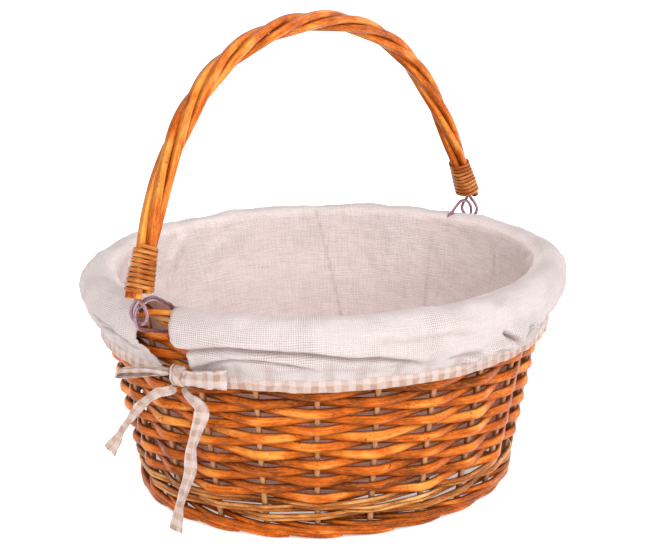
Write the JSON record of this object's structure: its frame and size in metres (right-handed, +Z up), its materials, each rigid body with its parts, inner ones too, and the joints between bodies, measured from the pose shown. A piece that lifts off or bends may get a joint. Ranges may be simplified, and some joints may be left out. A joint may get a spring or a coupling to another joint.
{
  "type": "lined wicker basket",
  "caption": "Oval woven willow basket with a twisted swing handle on wire links, a linen lining turned out over the rim, and gingham drawstring bows.",
  "frame": {"origin": "on the floor under the centre of the oval", "axes": "+Z up; the handle spans Y, the longer axis; the handle's hinge line is parallel to Y; X is across the handle"},
  "size_m": [0.397, 0.4572, 0.3832],
  "materials": {
    "willow": "varnished",
    "pale_willow": "varnished",
    "dark_willow": "varnished",
    "stake_willow": "satin",
    "linen": "matte",
    "gingham": "matte",
    "wire": "satin"
  },
  "bodies": {
    "basket": {"bottom_sticks": "stake_willow", "bottom_weaver_1": "willow", "bottom_weaver_2": "willow", "far_tie_knot": "gingham", "far_tie_left_loop": "gingham", "far_tie_long_tail": "gingham", "far_tie_right_loop": "gingham", "far_tie_short_tail": "gingham", "foot_border_rod_1": "dark_willow", "foot_border_rod_2": "dark_willow", "gingham_casing_east": "gingham", "gingham_casing_west": "gingham", "lining_bottom_panel": "linen", "lining_flap_east": "linen", "lining_flap_west": "linen", "lining_side_panel": "linen", "near_tie_knot": "gingham", "near_tie_left_loop": "gingham", "near_tie_long_tail": "gingham", "near_tie_right_loop": "gingham", "near_tie_short_tail": "gingham", "rim_border_rod_1": "dark_willow", "rim_border_rod_2": "dark_willow", "rim_wire_ring_far": "wire", "rim_wire_ring_near": "wire", "stakes_and_rim_core": "stake_willow", "waling_rod_1": "pale_willow", "waling_rod_2": "pale_willow", "waling_rod_3": "pale_willow", "weaver_row_01": "pale_willow", "weaver_row_02": "willow", "weaver_row_03": "willow", "weaver_row_04": "pale_willow", "weaver_row_05": "willow", "weaver_row_06": "willow", "weaver_row_07": "pale_willow", "weaver_row_08": "willow", "weaver_row_09": "willow", "weaver_row_10": "pale_willow", "weaver_row_11": "willow", "weaver_row_12": "willow", "weaver_row_13": "pale_willow", "weaver_row_14": "willow", "weaver_row_15": "willow", "weaver_row_16": "pale_willow", "weaver_row_17": "willow", "weaver_row_18": "willow"},
    "handle": {"handle_binding_far": "pale_willow", "handle_binding_near": "pale_willow", "handle_rod_1": "willow", "handle_rod_2": "pale_willow", "handle_rod_3": "willow", "handle_rod_4": "pale_willow", "handle_wire_eye_far": "wire", "handle_wire_eye_near": "wire"}
  },
  "joints": [
    {"name": "handle_swing", "type": "hinge", "parent": "basket", "child": "handle", "pos_m": [0, 0, 0.19], "axis": [0, 1, 0], "range_deg": [-79.8, 90.2]}
  ]
}
